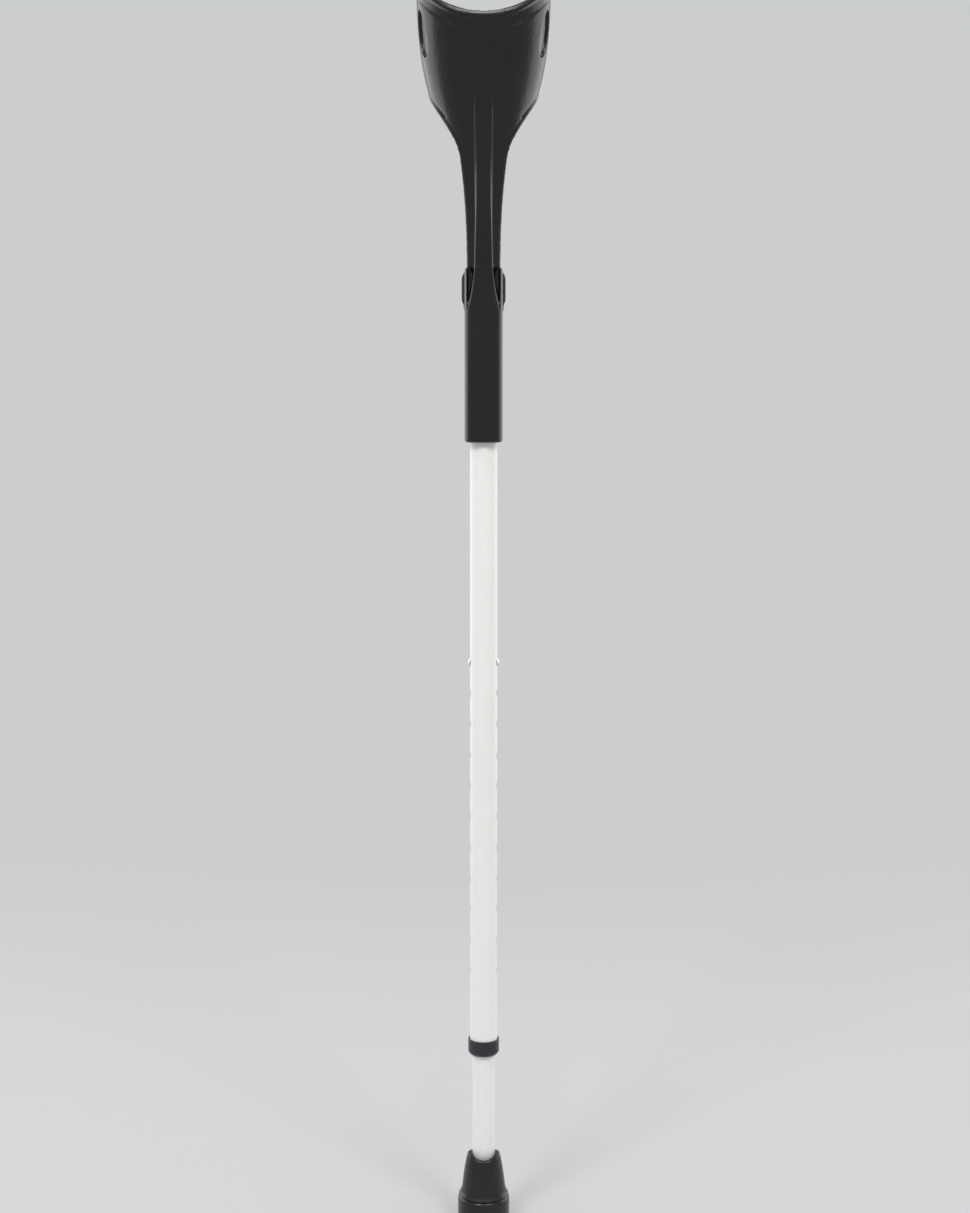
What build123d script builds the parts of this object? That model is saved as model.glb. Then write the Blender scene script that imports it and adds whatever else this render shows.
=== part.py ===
"""Forearm crutch: a moulded handle and cuff on a tube that telescopes over a foot tube.

Millimetres. The origin is the middle of the ferrule's sole, on the axis of the tubes.
+Z runs up the tubes, +Y is forward, the way the hand grip points and the cuff opens.
The crutch is modelled at its shortest setting, with the snap buttons in the top holes.
"""

import os
from math import acos, atan2, cos, degrees, radians, sin, sqrt, tan

from build123d import *

os.makedirs("parts", exist_ok=True)

# Tubes
upper_tube_od = 22.0
upper_tube_wall = 1.2
upper_tube_length = 592.0
tube_step = 4.0
lower_tube_wall = 1.2
lower_tube_above_button = 24.0

# Height setting: pairs of holes through the upper tube, one pair in the lower tube
hole_pitch = 25.0
hole_count = 11
lowest_hole_from_end = 64.6
button_hole_from_foot = 441.5
button_d = 8.0
button_clearance = 0.2
upper_hole_clearance = 0.3

# Snap buttons and their strip spring
button_proud = 1.6
button_dome_height = 2.6
button_flange_d = 10.4
button_flange_thickness = 0.9
rivet_d = 3.2
rivet_head_d = 4.6
rivet_head_thickness = 0.5
strip_thickness = 0.6
strip_width = 7.6
strip_drop = 42.0
strip_tail = 6.0
strip_bend_radius = 2.4
flange_clearance = 0.1

# Ferrule, its steel disc and the tread under it
ferrule_height = 59.0
ferrule_base_d = 41.6
ferrule_base_height = 26.0
ferrule_ledge_radius = 3.0
ferrule_lip_wall = 4.3
ferrule_neck_wall = 5.3
ferrule_skirt_step = 4.1
ferrule_skirt_height = 11.0
ferrule_scoop_step = 2.0
ferrule_scoop_depth = 4.7
ferrule_floor = 14.0
ferrule_groove_depth = 1.5
ferrule_groove_height = 1.6
disc_thickness = 2.0
disc_clearance = 0.15
tread_depth = 2.5
tread_groove_width = 2.6
tread_pitch = 6.2

# Collar on the lower end of the upper tube
collar_wall = 1.5
collar_height = 12.4
collar_floor = 3.0
collar_spigot_length = 14.0
collar_running_gap = 0.1
collar_seat_gap = 0.05

# Guide bush on the upper end of the lower tube
bush_head_height = 7.0
bush_plug_length = 9.0
bush_running_gap = 0.1
bush_bore_d = 10.0

# Handle moulding: sleeve and hub
sleeve_side_wall = 4.2
sleeve_back_wall = 5.0
sleeve_corner_radius = 10.5
tube_below_pocket = 3.0
sleeve_end_radius = 2.5
pocket_from_sleeve_end = 104.0
hub_from_sleeve_end = 138.5
hub_cheek_wall = 2.0
hub_pocket_floor_y = -7.0
hub_pocket_radius = 1.0
hub_edge_radius = 1.5

# Handle moulding: neck, spine rib and cuff
neck_lean = 17.0
neck_from_sleeve_end = 146.5
neck_back_y = -14.0
neck_edge_forward = 7.0
shell_wall = 3.4
rib_width = 14.0
rib_height = 7.5
rib_fade_length = 174.0
rib_fade_sink = 0.6
rib_edge_radius = 1.0
spine_in_wall = 3.0
spine_flare_steps = 6
trim_margin = 14.0
cuff_rim_back = 187.0
cuff_rim_top = 207.0
cuff_rim_top_forward = 60.0
cuff_front_forward = 80.0
cuff_front_top_radius = 20.0
cuff_front_low_radius = 24.0
cuff_sweep_start = 76.0
cuff_sweep_radius = 42.5
cuff_sweep_forward = 42.0
cuff_low_front = 133.0
bead_width = 3.0
bead_rise = 0.5
band_gap = 0.5
band_width = 5.0
band_drop = 3.0
band_depth = 0.8
band_end_forward = 19.0
band_end_up = 101.0
slot_forward = 34.0
slot_up = 169.0
slot_length = 36.0
slot_width = 16.0
slot_tilt = 15.0

# Outer radius of the shell at stations along the neck and cuff
shell_stations = [
    (-25.0, 16.2),
    (0.0, 16.4),
    (25.0, 17.6),
    (50.0, 20.8),
    (75.0, 27.0),
    (100.0, 35.9),
    (125.0, 44.4),
    (150.0, 49.6),
    (175.0, 51.9),
    (200.0, 52.7),
    (225.0, 53.0),
]

# Grip: the core of the moulding, the soft cover and the end cap
grip_from_sleeve_end = 123.5
grip_core_width = 23.0
grip_core_height = 24.0
grip_core_radius = 8.0
grip_core_bore_d = 14.0
grip_core_bore_depth = 60.0
grip_root_width = 30.0
grip_root_height = 28.0
grip_root_radius = 12.0
grip_root_depth = 14.0
grip_corner_radius = 10.0
# Distance along the cover, width, height, and how far the section sits above the grip's axis
grip_stations = [
    (0.0, 36.0, 34.5, 0.0),
    (12.0, 34.0, 33.0, 0.0),
    (45.0, 31.5, 33.5, 0.5),
    (85.0, 33.0, 34.5, 0.3),
    (106.0, 35.0, 36.0, 0.0),
]
grip_cap_thickness = 6.0
grip_cap_plug_length = 16.0
grip_cap_clearance = 0.1

# Screw that holds the tube in the sleeve, through the front
screw_from_sleeve_end = 24.0
screw_d = 4.8
screw_head_d = 9.0
screw_head_height = 3.0
screw_head_sink = 3.4
screw_reach_in_tube = 4.0
screw_slot_width = 1.2
screw_clearance = 0.15

# Worked out from the sizes above
lower_tube_od = upper_tube_od - tube_step
upper_or = upper_tube_od / 2
upper_ir = upper_or - upper_tube_wall
lower_or = lower_tube_od / 2
lower_ir = lower_or - lower_tube_wall
lower_tube_foot = ferrule_floor + disc_thickness
button_z = lower_tube_foot + button_hole_from_foot
lower_tube_top = button_z + lower_tube_above_button
upper_tube_end = button_z - lowest_hole_from_end - hole_pitch * (hole_count - 1)
upper_tube_top = upper_tube_end + upper_tube_length
sleeve_width = upper_tube_od + 2 * sleeve_side_wall
sleeve_depth = upper_tube_od + 2 * sleeve_back_wall
sleeve_engagement = pocket_from_sleeve_end - tube_below_pocket
sleeve_end = upper_tube_top - sleeve_engagement
pocket_z = sleeve_end + pocket_from_sleeve_end
hub_z = sleeve_end + hub_from_sleeve_end
grip_z = sleeve_end + grip_from_sleeve_end
neck_z = sleeve_end + neck_from_sleeve_end
screw_z = sleeve_end + screw_from_sleeve_end
sleeve_front_y = sleeve_depth / 2
grip_start_y = sleeve_front_y + 1.0
lean = radians(neck_lean)


def export(part, name):
    """Label a finished piece and write it as its own STEP file."""
    part.label = name
    export_step(part, f"parts/{name}.step")


# ---------------------------------------------------------------- upper tube
with BuildPart() as upper_tube:
    with BuildSketch(Plane.XY.offset(upper_tube_end)):
        Circle(upper_or)
        Circle(upper_ir, mode=Mode.SUBTRACT)
    extrude(amount=upper_tube_length)
    with BuildSketch(Plane.YZ):
        with Locations((0, button_z - hole_pitch * (hole_count - 1) / 2)):
            with GridLocations(0, hole_pitch, 1, hole_count):
                Circle(button_d / 2 + upper_hole_clearance)
    extrude(amount=upper_tube_od, both=True, mode=Mode.SUBTRACT)
    with BuildSketch(Plane.XZ):
        with Locations((0, screw_z)):
            Circle(screw_d / 2 + screw_clearance)
    extrude(amount=-upper_tube_od, mode=Mode.SUBTRACT)
export(upper_tube.part, "upper_tube")

# -------------------------------------------------------------------- collar
collar_or = upper_or + collar_wall
collar_z = upper_tube_end - collar_floor
with BuildPart() as tube_collar:
    with BuildSketch(Plane.XZ):
        with BuildLine():
            Polyline(
                (lower_or + collar_running_gap, collar_z),
                (collar_or - 1.6, collar_z),
                (collar_or, collar_z + 2.2),
                (collar_or, collar_z + collar_height - 0.6),
                (collar_or - 0.6, collar_z + collar_height),
                (upper_or, collar_z + collar_height),
                (upper_or, upper_tube_end),
                (upper_ir - collar_seat_gap, upper_tube_end),
                (upper_ir - collar_seat_gap, upper_tube_end + collar_spigot_length),
                (lower_or + collar_running_gap, upper_tube_end + collar_spigot_length),
                close=True,
            )
        make_face()
    revolve(axis=Axis.Z)
export(tube_collar.part, "tube_collar")

# ---------------------------------------------------------------- lower tube
with BuildPart() as lower_tube:
    with BuildSketch(Plane.XY.offset(lower_tube_foot)):
        Circle(lower_or)
        Circle(lower_ir, mode=Mode.SUBTRACT)
    extrude(amount=lower_tube_top - lower_tube_foot)
    with BuildSketch(Plane.YZ):
        with Locations((0, button_z)):
            Circle(button_d / 2 + button_clearance)
    extrude(amount=lower_tube_od, both=True, mode=Mode.SUBTRACT)
export(lower_tube.part, "lower_tube")

# ---------------------------------------------------------------- guide bush
with BuildPart() as guide_bush:
    with BuildSketch(Plane.XZ):
        with BuildLine():
            Polyline(
                (bush_bore_d / 2, lower_tube_top - bush_plug_length),
                (lower_ir - 0.5, lower_tube_top - bush_plug_length),
                (lower_ir, lower_tube_top - bush_plug_length + 1.5),
                (lower_ir, lower_tube_top),
                (upper_ir - bush_running_gap, lower_tube_top),
                (upper_ir - bush_running_gap, lower_tube_top + bush_head_height - 1.0),
                (upper_ir - bush_running_gap - 1.0, lower_tube_top + bush_head_height),
                (bush_bore_d / 2, lower_tube_top + bush_head_height),
                close=True,
            )
        make_face()
    revolve(axis=Axis.Z)
export(guide_bush.part, "guide_bush")

# -------------------------------------------------------------- snap buttons
# The flange is a flat disc inside a round tube, so its rim meets the wall first.
flange_face = sqrt(lower_ir**2 - (button_flange_d / 2) ** 2) - flange_clearance
strip_face = flange_face - button_flange_thickness
rivet_end = strip_face - strip_thickness - rivet_head_thickness
button_tip_radius = upper_or + button_proud
dome_base = button_tip_radius - button_dome_height


def snap_button(side):
    """One pin, turned about the X axis, with its flange and the rivet that holds the strip."""
    with BuildPart() as button:
        with BuildSketch(Plane.XY.offset(button_z)):
            with BuildLine():
                Polyline(
                    (side * dome_base, button_d / 2),
                    (side * flange_face, button_d / 2),
                    (side * flange_face, button_flange_d / 2),
                    (side * strip_face, button_flange_d / 2),
                    (side * strip_face, rivet_d / 2),
                    (side * (strip_face - strip_thickness), rivet_d / 2),
                    (side * (strip_face - strip_thickness), rivet_head_d / 2),
                    (side * rivet_end, rivet_head_d / 2),
                    (side * rivet_end, 0),
                    (side * button_tip_radius, 0),
                )
                RadiusArc(
                    (side * button_tip_radius, 0),
                    (side * dome_base, button_d / 2),
                    -side * (button_dome_height**2 + (button_d / 2) ** 2) / (2 * button_dome_height),
                )
            make_face()
        revolve(axis=Axis((0, 0, button_z), (1, 0, 0)))
    return button.part


export(snap_button(-1), "snap_button_left")
export(snap_button(1), "snap_button_right")

# -------------------------------------------------------------- strip spring
# One strip bent into a narrow V, its legs riveted behind the two buttons.
strip_low = button_z - strip_drop
with BuildPart() as snap_spring:
    with BuildSketch(Plane.XZ):
        with BuildLine():
            Polyline(
                (-strip_face, button_z + strip_tail),
                (-strip_face, button_z - strip_tail),
                (-strip_bend_radius, strip_low + strip_bend_radius),
            )
            ThreePointArc(
                (-strip_bend_radius, strip_low + strip_bend_radius),
                (0, strip_low),
                (strip_bend_radius, strip_low + strip_bend_radius),
            )
            Polyline(
                (strip_bend_radius, strip_low + strip_bend_radius),
                (strip_face, button_z - strip_tail),
                (strip_face, button_z + strip_tail),
            )
            offset(amount=strip_thickness, side=Side.LEFT)
        make_face()
    extrude(amount=strip_width / 2, both=True)
    with BuildSketch(Plane.YZ):
        with Locations((0, button_z)):
            Circle(rivet_d / 2)
    extrude(amount=lower_tube_od, both=True, mode=Mode.SUBTRACT)
export(snap_spring.part, "snap_spring")

# ------------------------------------------------------------------- ferrule
ferrule_base_r = ferrule_base_d / 2
ferrule_lip_r = lower_or + ferrule_lip_wall
ferrule_mouth_r = (lower_or + ferrule_lip_r) / 2
ferrule_neck_r = lower_or + ferrule_neck_wall
ferrule_scoop_r = lower_or + ferrule_scoop_step
ledge_turn = acos(1 - ferrule_groove_depth / ferrule_ledge_radius)


def ledge_point(turn):
    """A point on the round top edge of the base, at an angle up from its side."""
    return (
        ferrule_base_r - ferrule_ledge_radius * (1 - cos(turn)),
        ferrule_base_height - ferrule_ledge_radius * (1 - sin(turn)),
    )


with BuildPart() as ferrule:
    with BuildSketch(Plane.XZ):
        with BuildLine():
            Polyline(
                (0, ferrule_floor),
                (lower_or, ferrule_floor),
                (lower_or, ferrule_height - 1.0),
            )
            ThreePointArc(
                (lower_or, ferrule_height - 1.0),
                (ferrule_mouth_r, ferrule_height),
                (ferrule_lip_r, ferrule_height - 2.2),
            )
            Line(
                (ferrule_lip_r, ferrule_height - 2.2),
                (ferrule_neck_r, ferrule_height - 6.0),
            )
            skirt = Spline(
                (ferrule_neck_r, ferrule_height - 6.0),
                (ferrule_base_r - ferrule_skirt_step, ferrule_base_height + ferrule_skirt_height),
                (ferrule_base_r - 0.6, ferrule_base_height + ferrule_groove_height + 0.4),
                tangents=[(0.2, -1.0), (0.9, -1.0)],
            )
            Polyline(
                skirt @ 1,
                (ferrule_base_r - 0.6, ferrule_base_height + ferrule_groove_height),
                (ferrule_base_r - ferrule_groove_depth, ferrule_base_height + ferrule_groove_height - 0.5),
                ledge_point(ledge_turn),
            )
            ThreePointArc(ledge_point(ledge_turn), ledge_point(ledge_turn / 2), ledge_point(0))
            Polyline(
                ledge_point(0),
                (ferrule_base_r, 1.5),
                (ferrule_base_r - 1.5, 0),
                (0, 0),
                (0, ferrule_floor),
            )
        make_face()
    revolve(axis=Axis.Z)
    with BuildSketch(Plane.XY):
        for ring in range(3):
            groove_r = tread_pitch * (ring + 0.5)
            Circle(groove_r + tread_groove_width / 2)
            Circle(groove_r - tread_groove_width / 2, mode=Mode.SUBTRACT)
    extrude(amount=tread_depth, mode=Mode.SUBTRACT)
    # mouth scooped out from front to back, which leaves it high at the sides of the tube
    with BuildSketch(Plane.XZ):
        with Locations((0, ferrule_height - ferrule_scoop_depth + ferrule_scoop_r)):
            Circle(ferrule_scoop_r)
    extrude(amount=ferrule_base_d, both=True, mode=Mode.SUBTRACT)
export(ferrule.part, "ferrule")

# -------------------------------------------------------- steel disc in the ferrule
with BuildPart() as ferrule_disc:
    with BuildSketch(Plane.XY.offset(ferrule_floor)):
        Circle(lower_or - disc_clearance)
    extrude(amount=disc_thickness)
export(ferrule_disc.part, "ferrule_disc")

# ----------------------------------------------------------- handle moulding
# The cuff and neck lean back from the tubes. Their own plane has its origin on the
# back of the neck's waist, its Y axis forward across the cuff and its Z axis up it.
cuff_plane = Plane(
    origin=(0, neck_back_y, neck_z),
    x_dir=(1, 0, 0),
    z_dir=(0, -sin(lean), cos(lean)),
)
side_plane = Plane(
    origin=cuff_plane.origin,
    x_dir=cuff_plane.y_dir,
    z_dir=(1, 0, 0),
)


def cuff_loft(growth):
    """Closed tube of rings that all touch the back line, grown outwards by growth."""
    with BuildPart() as rings:
        for up, radius in shell_stations:
            with BuildSketch(cuff_plane.offset(up)):
                with Locations((0, radius)):
                    Circle(radius + growth)
        loft()
    return rings.part


# Side outline of the neck and cuff: neck edge, sweep under the wing, rounded front, rim.
sweep_centre_forward = neck_edge_forward + cuff_sweep_radius
sweep_turn = acos((sweep_centre_forward - cuff_sweep_forward) / cuff_sweep_radius)
sweep_end = (
    sweep_centre_forward - cuff_sweep_radius * cos(sweep_turn),
    cuff_sweep_start + cuff_sweep_radius * sin(sweep_turn),
)
rim_rise = cuff_rim_top - cuff_rim_back
rim_radius = (cuff_rim_top_forward**2 + rim_rise**2) / (2 * rim_rise)
shell_foot = shell_stations[0][0]
rim_behind = cuff_rim_top - rim_radius + sqrt(rim_radius**2 - (cuff_rim_top_forward + trim_margin) ** 2)


def cuff_side(inset, drop=0.0):
    """Prism across the cuff on its side outline, drawn in from the free edges and dropped."""
    with BuildPart() as prism:
        with BuildSketch(side_plane) as outline:
            with BuildLine():
                Polyline(
                    (-trim_margin, rim_behind),
                    (-trim_margin, shell_foot),
                    (neck_edge_forward, shell_foot),
                    (neck_edge_forward, cuff_sweep_start),
                )
                ThreePointArc(
                    (neck_edge_forward, cuff_sweep_start),
                    (
                        sweep_centre_forward - cuff_sweep_radius * cos(sweep_turn / 2),
                        cuff_sweep_start + cuff_sweep_radius * sin(sweep_turn / 2),
                    ),
                    sweep_end,
                )
                Polyline(
                    sweep_end,
                    (cuff_front_forward, cuff_low_front),
                    (cuff_front_forward, cuff_rim_top),
                    (cuff_rim_top_forward, cuff_rim_top),
                )
                RadiusArc((cuff_rim_top_forward, cuff_rim_top), (-trim_margin, rim_behind), -rim_radius)
            make_face()
            fillet(outline.vertices().group_by(Axis.X)[-1].sort_by(Axis.Y)[-1], cuff_front_top_radius)
            fillet(outline.vertices().group_by(Axis.X)[-1].sort_by(Axis.Y)[0], cuff_front_low_radius)
            if inset:
                offset(amount=-inset)
        extrude(amount=cuff_reach, both=True)
    return prism.part.moved(Location(cuff_plane.z_dir * -drop))


cuff_reach = shell_stations[-1][1] + trim_margin
shell_side = cuff_side(0)
bead_limit = cuff_side(bead_width)
band_limit = cuff_side(bead_width + band_gap)
band_inner_limit = cuff_side(bead_width + band_gap + band_width, band_drop)
shell_outside = cuff_loft(bead_rise)
shell_inside = cuff_loft(-shell_wall)
skin_outside = cuff_loft(2 * bead_rise)
skin_inside = cuff_loft(0)
band_inside = cuff_loft(-band_depth)

# Skin taken off everywhere but along the free edges, which leaves them as a bead
with BuildPart() as skin:
    add(skin_outside)
    add(skin_inside, mode=Mode.SUBTRACT)
    add(bead_limit, mode=Mode.INTERSECT)

# Shallow band inside the bead, sunk into the outside of the cuff and ended above the neck
band_end_turn = degrees(atan2(sweep_centre_forward - band_end_forward, band_end_up - cuff_sweep_start))
with BuildPart() as band:
    add(skin_outside)
    add(band_inside, mode=Mode.SUBTRACT)
    add(band_limit, mode=Mode.INTERSECT)
    add(band_inner_limit, mode=Mode.SUBTRACT)
    with BuildSketch(side_plane):
        with Locations(Location((band_end_forward, band_end_up), -band_end_turn)):
            Rectangle(4 * cuff_front_forward, 4 * cuff_rim_top, align=(Align.CENTER, Align.MIN))
    extrude(amount=cuff_reach, both=True, mode=Mode.INTERSECT)

# Spine: the rib on the back of the neck, which broadens into the back of the sleeve.
# Each station is a rounded rectangle at one height, its front edge hidden in the neck.
rib_meets_shell = cuff_plane.from_local_coords((0, rib_fade_sink, rib_fade_length))
rib_at_waist = cuff_plane.from_local_coords((0, -rib_height, 0))
rib_slope = (rib_meets_shell.Y - rib_at_waist.Y) / (rib_meets_shell.Z - rib_at_waist.Z)
sleeve_back_y = -sleeve_depth / 2
spine_bend_z = rib_at_waist.Z + (sleeve_back_y - rib_at_waist.Y) / rib_slope
spine_bend_reach = spine_bend_z - pocket_z
flare_height = neck_z - pocket_z
flare_rise = (sleeve_width - rib_width) / 2


def spine_back_y(z):
    """The back of the spine: upright on the sleeve, a bend, then straight up the neck."""
    into_bend = min(max(z - pocket_z, 0), 2 * spine_bend_reach)
    bend = rib_slope * into_bend**2 / (4 * spine_bend_reach)
    return sleeve_back_y + bend + rib_slope * max(z - pocket_z - 2 * spine_bend_reach, 0)


def spine_section(z):
    """One station of the spine, wide and round at the sleeve, narrow and crisp on the neck."""
    flare = (max(neck_z - z, 0) / flare_height) ** 2
    width = rib_width + 2 * flare_rise * flare
    corner = rib_edge_radius + (sleeve_corner_radius - rib_edge_radius) * flare
    back = spine_back_y(z)
    neck_front = neck_back_y - (z - neck_z) * tan(lean) + spine_in_wall
    front = neck_front + (-sleeve_back_y - neck_front) * flare
    with BuildSketch(Plane.XY.offset(z)) as section:
        with Locations((0, (back + front) / 2)):
            RectangleRounded(width, front - back, corner)
    return section.sketch


flare_step = flare_height / spine_flare_steps
flare_sections = [spine_section(pocket_z + flare_step * count) for count in range(spine_flare_steps + 1)]
rib_sections = [spine_section(neck_z), spine_section(rib_meets_shell.Z)]

# Sleeve round the tube, and the hub above it, with a pocket on each side of the spine
with BuildPart() as sleeve:
    with BuildSketch(Plane.XY.offset(sleeve_end)):
        RectangleRounded(sleeve_width, sleeve_depth, sleeve_corner_radius)
    extrude(amount=pocket_z - sleeve_end)
    fillet(sleeve.faces().sort_by(Axis.Z)[0].edges(), sleeve_end_radius)

with BuildPart() as hub:
    with BuildSketch(Plane.XY.offset(pocket_z)):
        RectangleRounded(sleeve_width, sleeve_depth, sleeve_corner_radius)
    extrude(amount=hub_z - pocket_z)
    fillet(hub.faces().sort_by(Axis.Z)[-1].edges(), hub_edge_radius)
    with BuildSketch(Plane.XY.offset(pocket_z)):
        with Locations((0, hub_pocket_floor_y)):
            RectangleRounded(
                sleeve_width - 2 * hub_cheek_wall,
                sleeve_depth,
                hub_pocket_radius,
                align=(Align.CENTER, Align.MAX),
            )
    extrude(amount=hub_z - pocket_z, mode=Mode.SUBTRACT)

# Core of the grip, which the cover slides on to, and the root that the cover butts against
grip_length = grip_stations[-1][0]
grip_plane = Plane(origin=(0, grip_start_y, grip_z), x_dir=(-1, 0, 0), z_dir=(0, 1, 0))
screw_plane = Plane(origin=(0, sleeve_front_y, screw_z), x_dir=(-1, 0, 0), z_dir=(0, 1, 0))
with BuildPart() as grip_core:
    with BuildSketch(grip_plane):
        RectangleRounded(grip_core_width, grip_core_height, grip_core_radius)
    extrude(amount=grip_length)
    with BuildSketch(grip_plane):
        RectangleRounded(grip_root_width, grip_root_height, grip_root_radius)
    extrude(amount=-grip_root_depth)

with BuildPart() as handle_moulding:
    # neck and cuff, trimmed from a shell of rings
    add(shell_outside)
    add(shell_inside, mode=Mode.SUBTRACT)
    add(shell_side, mode=Mode.INTERSECT)
    add(band.part, mode=Mode.SUBTRACT)
    add(skin.part, mode=Mode.SUBTRACT)
    # oval slots through both sides of the cuff
    with BuildSketch(side_plane):
        with Locations(Location((slot_forward, slot_up), -slot_tilt)):
            Ellipse(slot_width / 2, slot_length / 2)
    extrude(amount=cuff_reach, both=True, mode=Mode.SUBTRACT)
    # spine, from the top of the sleeve to where it runs out on the back of the cuff
    loft(flare_sections)
    loft(rib_sections, ruled=True)
    # hub over the end of the tube
    add(hub.part)
    # sleeve round the upper tube
    add(sleeve.part)
    # core of the grip, with the bore for the end cap's plug
    add(grip_core.part)
    with BuildSketch(grip_plane.offset(grip_length - grip_core_bore_depth)):
        Circle(grip_core_bore_d / 2)
    extrude(amount=grip_core_bore_depth, mode=Mode.SUBTRACT)
    # bore for the tube, and the screw's hole and seat through the front of the sleeve
    with BuildSketch(Plane.XY.offset(sleeve_end)):
        Circle(upper_or)
    extrude(amount=sleeve_engagement, mode=Mode.SUBTRACT)
    with BuildSketch(screw_plane):
        Circle(screw_d / 2 + screw_clearance)
    extrude(amount=-sleeve_depth / 2, mode=Mode.SUBTRACT)
    with BuildSketch(screw_plane):
        Circle(screw_head_d / 2 + screw_clearance)
    extrude(amount=-screw_head_sink, mode=Mode.SUBTRACT)
export(handle_moulding.part, "handle_moulding")

# ---------------------------------------------------------------- grip cover
with BuildPart() as grip_cover:
    for along, width, height, lift in grip_stations:
        with BuildSketch(grip_plane.offset(along)):
            with Locations((0, lift)):
                RectangleRounded(width, height, grip_corner_radius)
    loft()
    with BuildSketch(grip_plane):
        RectangleRounded(grip_core_width, grip_core_height, grip_core_radius)
    extrude(amount=grip_length, mode=Mode.SUBTRACT)
export(grip_cover.part, "grip_cover")

# ------------------------------------------------------------- grip end cap
with BuildPart() as grip_end_cap:
    with BuildSketch(grip_plane.offset(grip_length)):
        RectangleRounded(grip_stations[-1][1], grip_stations[-1][2], grip_corner_radius)
    extrude(amount=grip_cap_thickness)
    fillet(grip_end_cap.faces().sort_by(Axis.Y)[-1].edges(), grip_cap_thickness - 1.0)
    with BuildSketch(grip_plane.offset(grip_length)):
        Circle(grip_core_bore_d / 2 - grip_cap_clearance)
    extrude(amount=-grip_cap_plug_length)
export(grip_end_cap.part, "grip_end_cap")

# ------------------------------------------------------------ handle screw
with BuildPart() as handle_screw:
    with BuildSketch(screw_plane.offset(-screw_head_sink)):
        Circle(screw_head_d / 2)
    extrude(amount=screw_head_height)
    fillet(handle_screw.faces().sort_by(Axis.Y)[-1].edges(), screw_head_height * 0.6)
    with BuildSketch(screw_plane.offset(-screw_head_sink)):
        Circle(screw_d / 2)
    extrude(amount=-(sleeve_depth / 2 - screw_head_sink - upper_ir + screw_reach_in_tube))
    with BuildSketch(screw_plane.offset(screw_head_height - screw_head_sink)):
        Rectangle(screw_head_d * 0.6, screw_slot_width)
        Rectangle(screw_slot_width, screw_head_d * 0.6)
    extrude(amount=-screw_head_height * 0.5, mode=Mode.SUBTRACT)
export(handle_screw.part, "handle_screw")
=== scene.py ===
"""Forearm crutch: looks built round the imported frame. Metres, in the frame's own axes."""

import math

import bmesh
import bpy
from mathutils import Matrix, Vector


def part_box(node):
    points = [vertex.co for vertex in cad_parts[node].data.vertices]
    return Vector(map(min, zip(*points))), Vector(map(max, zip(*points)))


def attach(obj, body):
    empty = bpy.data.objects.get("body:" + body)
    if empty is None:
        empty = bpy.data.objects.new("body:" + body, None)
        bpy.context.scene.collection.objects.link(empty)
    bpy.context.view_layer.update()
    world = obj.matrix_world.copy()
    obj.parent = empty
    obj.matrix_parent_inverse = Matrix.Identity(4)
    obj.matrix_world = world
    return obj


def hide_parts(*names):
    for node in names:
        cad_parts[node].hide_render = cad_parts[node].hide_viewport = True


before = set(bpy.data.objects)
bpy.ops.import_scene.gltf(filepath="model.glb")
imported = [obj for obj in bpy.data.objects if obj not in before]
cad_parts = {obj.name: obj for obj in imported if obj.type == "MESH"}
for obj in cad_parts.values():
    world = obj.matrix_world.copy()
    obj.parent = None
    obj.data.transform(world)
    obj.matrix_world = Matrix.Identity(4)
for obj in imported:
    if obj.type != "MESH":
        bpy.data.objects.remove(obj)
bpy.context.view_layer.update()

# ---------------------------------------------------------------------------
# Upper tube: drawn aluminium, powder coated in a pale grey-white. A row of
# round height holes is punched through both sides, and each hole's edge is
# broken before coating so that the coat rolls over it.
mm = 0.001


def joined_mesh(name, bm, material, body, node):
    """Weld a bmesh into a softly shaded piece, on its body and in place of its CAD node."""
    weld_distance = 0.001 * mm
    crisp_from = math.radians(35)
    bmesh.ops.remove_doubles(bm, verts=bm.verts, dist=weld_distance)
    bmesh.ops.recalc_face_normals(bm, faces=bm.faces)
    mesh = bpy.data.meshes.new(name)
    bm.to_mesh(mesh)
    bm.free()
    piece = bpy.data.objects.new(name, mesh)
    bpy.context.scene.collection.objects.link(piece)
    mesh.materials.append(material)
    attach(piece, body)
    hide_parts(node)
    mesh.polygons.foreach_set("use_smooth", [True] * len(mesh.polygons))
    mesh.set_sharp_from_angle(angle=crisp_from)
    return piece


def effect(name, inputs, outputs):
    """An empty shader node group with named value sockets, and its two end nodes."""
    group = bpy.data.node_groups.new(name, "ShaderNodeTree")
    for socket, value in inputs:
        made = group.interface.new_socket(
            socket, in_out="INPUT", socket_type="NodeSocketFloat"
        )
        made.default_value = value
    for socket in outputs:
        group.interface.new_socket(socket, in_out="OUTPUT", socket_type="NodeSocketFloat")
    return group, group.nodes.new("NodeGroupInput"), group.nodes.new("NodeGroupOutput")


def math_node(tree, operation, a, b):
    """One Math node. Each input is a number or the socket that feeds it."""
    node = tree.nodes.new("ShaderNodeMath")
    node.operation = operation
    for socket, value in zip(node.inputs, (a, b)):
        if hasattr(value, "is_output"):
            tree.links.new(value, socket)
        else:
            socket.default_value = value
    return node.outputs[0]


def noise_node(tree, coordinates, scale, detail, roughness=0.5):
    """One Noise Texture. The scale is a number or the socket that feeds it."""
    node = tree.nodes.new("ShaderNodeTexNoise")
    node.inputs["Detail"].default_value = detail
    node.inputs["Roughness"].default_value = roughness
    tree.links.new(coordinates, node.inputs["Vector"])
    if hasattr(scale, "is_output"):
        tree.links.new(scale, node.inputs["Scale"])
    else:
        node.inputs["Scale"].default_value = scale
    return node.outputs["Fac"]


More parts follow.
